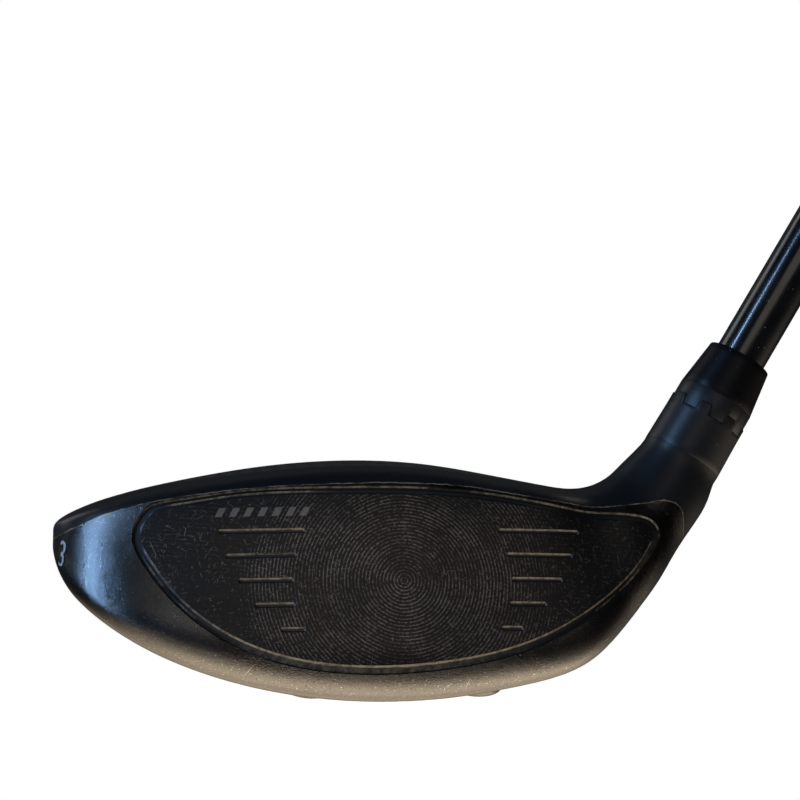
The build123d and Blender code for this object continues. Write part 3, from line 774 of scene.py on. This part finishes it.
def turned(name, outline, sides):
    # a closed ring turned about the shaft, through (place along it, radius)
    place, radius = outline[0]
    bpy.ops.object.select_all(action="DESELECT")
    bpy.ops.mesh.primitive_circle_add(vertices=sides, radius=radius, location=(0, 0, place))
    piece = bpy.context.object
    piece.name = name
    bpy.ops.object.transform_apply(location=True, rotation=True, scale=True)
    bpy.ops.object.mode_set(mode="EDIT")
    bpy.ops.mesh.select_all(action="SELECT")
    for (place, radius), (nextPlace, nextRadius) in zip(outline, outline[1:]):
        share = nextRadius / radius
        bpy.ops.mesh.extrude_region_move(TRANSFORM_OT_translate={"value": (0, 0, nextPlace - place)})
        bpy.ops.transform.resize(value=(share, share, 1), center_override=(0, 0, nextPlace))
    bpy.ops.mesh.select_all(action="DESELECT")
    bpy.ops.mesh.select_non_manifold()
    bpy.ops.mesh.bridge_edge_loops()
    bpy.ops.mesh.select_all(action="SELECT")
    bpy.ops.mesh.remove_doubles(threshold=mergeReach)
    bpy.ops.mesh.normals_make_consistent(inside=False)
    bpy.ops.object.mode_set(mode="OBJECT")
    piece.matrix_world = shaftFrame.to_4x4()
    bpy.ops.object.transform_apply(location=True, rotation=True, scale=True)
    return piece


def makeGrip():
    mouth, top = gripShape["mouth"], gripShape["top"]
    low, high = gripShape["radii"]
    lipRadius, lipLength = gripShape["lip"]
    width, depth = gripShape["groove"]
    floorStart, floorEnd = gripShape["floorSpan"]
    outline = [(mouth, lipRadius), (mouth + lipLength, low)]
    for start in gripShape["grooves"]:
        for away, sunk in ((0, 0), (floorStart, 1), (floorEnd, 1), (1, 0)):
            place = start + away * width
            radius = low + (high - low) * place / (top - mouth)
            outline.append((mouth + place, radius - sunk * depth))
    outline += [(top, high), (top, gripShape["bore"]), (mouth, gripShape["bore"])]
    finish(turned("gripTurned", outline, gripShape["sides"]), "grip")


makeGrip()
print("grip turned")

stageSet = {
    "floorSize": 200.0,
    "floorTone": (0.5, 0.5, 0.495),
    "floorGlow": 0.99,
    "cameraPlace": (-0.0769, -0.3258, 0.0426),
    "cameraTarget": (-0.0253, 0.0, 0.0512),
    "cameraRoll": radians(0.5),
    "lens": 86.1,
    "worldFront": 0.01,
    "worldBehind": 0.02,
    "worldBelow": 3.8,
    "belowTint": (1.0, 0.82, 0.6),
    "turnSpan": (-0.2, 0.9),        # the direction's y, from front to behind
    "belowSpan": (-0.85, -0.2),     # its z, from full strength to none
    "belowToe": (-0.9, -0.3, 0.15, 1.0),    # its x, low and high, and the shares there
    "belowBack": (-0.1, 0.5, 1.0, 0.5),     # its y, in the same way
    "warmSpan": (-0.5, -0.1),       # its z, from tinted to plain
}


def makeFloor():
    bpy.ops.mesh.primitive_plane_add(size=stageSet["floorSize"], location=(0, 0, 0))
    floor = bpy.context.object
    floor.name = "studioFloor"
    mat, tree, shader = newMaterial("floorPaper")
    tone = noise(tree, objectSpace(tree), 3.0)
    base = stageSet["floorTone"]
    tree.links.new(blendColour(tree, tone, base, shaded(base, 0.98)), shader.inputs["Base Color"])
    shader.inputs["Roughness"].default_value = 0.9
    shader.inputs["Specular IOR Level"].default_value = 0.0
    shader.inputs["Emission Color"].default_value = (1, 1, 1, 1)
    shader.inputs["Emission Strength"].default_value = stageSet["floorGlow"]
    floor.data.materials.append(mat)
    floor.visible_glossy = False


def makeCamera():
    camera = bpy.data.objects.new("studioCamera", bpy.data.cameras.new("studioCamera"))
    bpy.context.scene.collection.objects.link(camera)
    place = Vector(stageSet["cameraPlace"])
    look = (Vector(stageSet["cameraTarget"]) - place).to_track_quat("-Z", "Y").to_matrix().to_4x4()
    roll = Matrix.Rotation(stageSet["cameraRoll"], 4, "Z")
    camera.matrix_world = Matrix.Translation(place) @ look @ roll
    camera.data.lens = stageSet["lens"]
    camera.data.sensor_width = 36
    camera.data.clip_start = 0.01
    bpy.context.scene.camera = camera


lamps = {
    # place, target, size, watts, colour
    "windowLeft": ((-1.15, -0.5, 0.5), (-0.06, 0, 0.02), (0.09, 1.3), 17.0, (0.33, 0.58, 1.0)),
    "skyBack": ((0.0, 1.6, 1.2), (0, 0, 0), (2.0, 1.0), 0.3, (0.95, 0.97, 1.0)),
    "backLeft": ((-1.2, 1.1, 0.9), (0, 0, 0.1), (0.6, 1.2), 4.0, (0.95, 0.97, 1.0)),
    "backRight": ((1.3, 1.0, 1.0), (0.1, 0, 0.2), (0.6, 1.2), 4.0, (1.0, 0.97, 0.93)),
    "faceSoft": ((0.0, -0.75, 0.4), (-0.03, 0, 0.02), (0.5, 0.3), 0.55, (1.0, 0.9, 0.8)),
}


def makeLamps(club):
    for name, (place, target, size, watts, colour) in lamps.items():
        data = bpy.data.lights.new(name, "AREA")
        data.shape = "RECTANGLE"
        data.size, data.size_y = size
        data.energy = watts
        data.color = colour
        lamp = bpy.data.objects.new(name, data)
        bpy.context.scene.collection.objects.link(lamp)
        lamp.location = place
        lamp.rotation_euler = (Vector(target) - Vector(place)).to_track_quat("-Z", "Y").to_euler()
        lamp.visible_camera = False
        lamp.light_linking.receiver_collection = club


def clubCollection():
    # the lamps light only what is in here, so the floor stays plain
    club = bpy.data.collections.new("club")
    for piece in bpy.context.scene.objects:
        if piece.type == "MESH" and not piece.name.startswith("studio"):
            club.objects.link(piece)
    return club


def makeWorld():
    # white to the eye, dim for the club, with a warm bounce from below
    world = bpy.data.worlds.new("studioWorld")
    bpy.context.scene.world = world
    world.use_nodes = True
    tree = world.node_tree
    direction = split(tree, addNode(tree, "ShaderNodeTexCoord").outputs["Generated"])
    front, behind = stageSet["worldFront"], stageSet["worldBehind"]
    around = ramp(tree, direction[1], *stageSet["turnSpan"], front, behind)
    below = ramp(tree, direction[2], *stageSet["belowSpan"], stageSet["worldBelow"], 0.0)
    below = calc(tree, "MULTIPLY", below, ramp(tree, direction[0], *stageSet["belowToe"]))
    below = calc(tree, "MULTIPLY", below, ramp(tree, direction[1], *stageSet["belowBack"]))
    seen = addNode(tree, "ShaderNodeLightPath").outputs["Is Camera Ray"]
    strength = blendValue(tree, seen, calc(tree, "ADD", around, below), 1.0)
    warmth = ramp(tree, direction[2], *stageSet["warmSpan"], 1.0, 0.0)
    warmth = calc(tree, "SUBTRACT", warmth, seen, clamp=True)
    tint = blendColour(tree, warmth, (1, 1, 1), stageSet["belowTint"])
    tree.links.new(tint, tree.nodes["Background"].inputs["Color"])
    tree.links.new(strength, tree.nodes["Background"].inputs["Strength"])
    bpy.context.scene.view_settings.view_transform = "Standard"


makeCamera()
makeFloor()
makeLamps(clubCollection())
makeWorld()
print("stage set")
